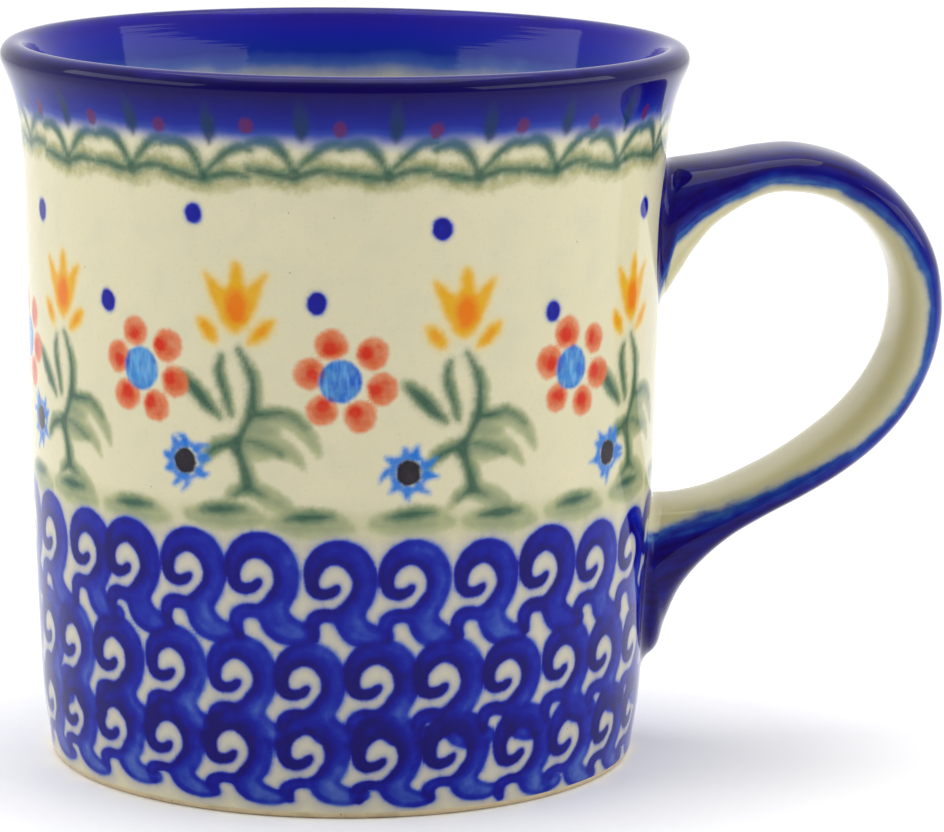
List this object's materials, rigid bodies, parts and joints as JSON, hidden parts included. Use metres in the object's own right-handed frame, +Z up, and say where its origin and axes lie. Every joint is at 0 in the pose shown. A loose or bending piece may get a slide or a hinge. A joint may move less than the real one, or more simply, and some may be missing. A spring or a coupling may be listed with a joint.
{
  "type": "stoneware mug",
  "caption": "Straight-sided stoneware mug with a gently flared round lip, a strap handle luted on at two roots and a shallow foot ring.",
  "frame": {"origin": "middle of the footprint of body and handle together, on the plane that the foot ring rests on", "axes": "+Z up through the mug's mouth, +X towards the handle, so the body's own axis is at x = -16 mm"},
  "size_m": [0.1158, 0.0838, 0.088],
  "materials": {
    "body_glaze": "clear gloss glaze over cream stoneware with sponge-stamped and brushed underglaze painting",
    "handle_glaze": "clear gloss glaze over brushed cobalt, bare cream on the finger side",
    "slip": "clay slip under pooled cobalt glaze"
  },
  "bodies": {
    "root": {"mug_body": "body_glaze", "handle": "handle_glaze", "upper_slip_joint": "slip", "lower_slip_joint": "slip"}
  },
  "joints": []
}
